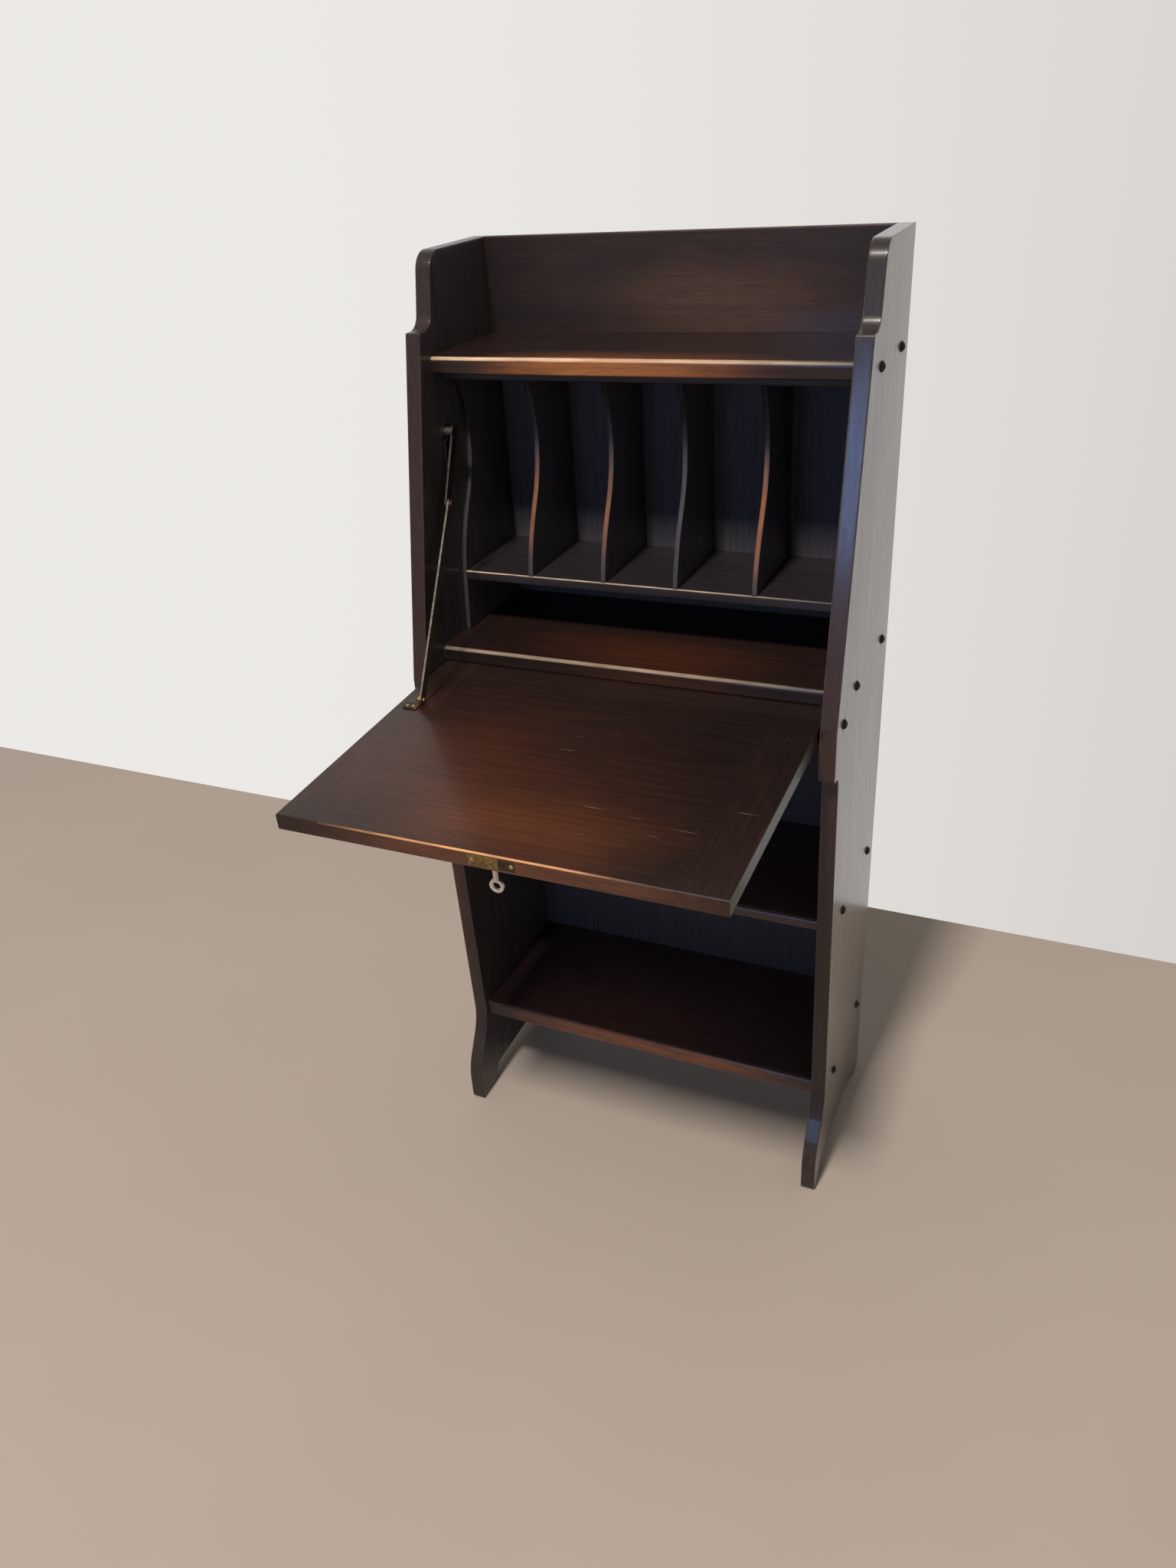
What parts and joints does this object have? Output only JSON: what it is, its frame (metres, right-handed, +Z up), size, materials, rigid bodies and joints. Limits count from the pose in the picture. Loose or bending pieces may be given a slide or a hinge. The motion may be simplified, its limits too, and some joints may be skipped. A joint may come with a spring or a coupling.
{
  "type": "escritoire",
  "caption": "Drop-front writing bureau with a gallery top, pigeonholes behind a hinged fall with folding stay and key lock, and open book shelves below.",
  "frame": {"origin": "floor level, centre of the footprint with the fall open", "axes": "+Z up, -Y to the front where the fall opens, +X to the right seen from the front"},
  "size_m": [0.546, 0.6, 1.2],
  "materials": {
    "oak_case": "dark stained, polished",
    "oak_inner": "dark stained, satin",
    "oak_fall": "dark stained, polished",
    "brass": "aged, tarnished",
    "steel": "darkened",
    "nickel": "worn plating"
  },
  "bodies": {
    "case": {"left_side": "oak_case", "right_side": "oak_case", "gallery_back": "oak_case", "back_panel": "oak_case", "top_shelf": "oak_case", "desk_floor": "oak_case", "mid_shelf": "oak_case", "bottom_shelf": "oak_case", "pigeonhole_top": "oak_inner", "pigeonhole_shelf": "oak_inner", "pigeonhole_cheek_left": "oak_inner", "pigeonhole_cheek_right": "oak_inner", "pigeonhole_divider_1": "oak_inner", "pigeonhole_divider_2": "oak_inner", "pigeonhole_divider_3": "oak_inner", "pigeonhole_divider_4": "oak_inner", "shelf_screws": "steel", "back_nails": "steel", "pivot_screw_left": "steel", "pivot_screw_right": "steel", "strike_plate": "brass", "strike_screws": "brass", "stay_side_plate": "brass", "stay_plate_screws": "brass", "stay_stud": "brass"},
    "fall": {"fall_panel": "oak_fall", "fall_cleat_left": "oak_fall", "fall_cleat_right": "oak_fall", "lock_case": "steel", "lock_selvedge": "brass", "selvedge_screws": "brass", "escutcheon": "brass", "stay_bracket": "brass", "stay_bracket_pin": "brass", "stay_bracket_screws": "brass"},
    "stay_upper": {"stay_upper_arm": "brass"},
    "stay_lower": {"stay_lower_arm": "brass", "stay_elbow_rivet": "brass"},
    "key": {"key": "nickel"},
    "bolt": {"lock_bolt": "steel"}
  },
  "joints": [
    {"name": "fall_hinge", "type": "hinge", "parent": "case", "child": "fall", "pos_m": [0, 0.06097, 0.713], "axis": [-1, 0, 0], "range_deg": [0, 104.2]},
    {"name": "stay_upper_swing", "type": "hinge", "parent": "case", "child": "stay_upper", "pos_m": [-0.237, 0.14197, 0.99899], "axis": [-1, 0, 0], "range_deg": [-125, 0]},
    {"name": "stay_lower_swing", "type": "hinge", "parent": "fall", "child": "stay_lower", "pos_m": [-0.218, -0.03857, 0.72519], "axis": [-1, 0, 0], "range_deg": [-110, 0]},
    {"name": "key_turn", "type": "hinge", "parent": "fall", "child": "key", "pos_m": [0, -0.28369, 0.69976], "axis": [0, -0.0384, 0.9993], "range_deg": [0, 180]},
    {"name": "bolt_slide", "type": "slide", "parent": "fall", "child": "bolt", "axis": [0, -0.9993, -0.0384], "range_m": [0, 0.009]}
  ],
  "couplings": [
    {"joint": "stay_upper_swing", "follows": "fall_hinge", "ratio": -1.19},
    {"joint": "stay_lower_swing", "follows": "fall_hinge", "ratio": -1.0449},
    {"joint": "key_turn", "follows": "bolt_slide", "rad_per_m": 349}
  ]
}
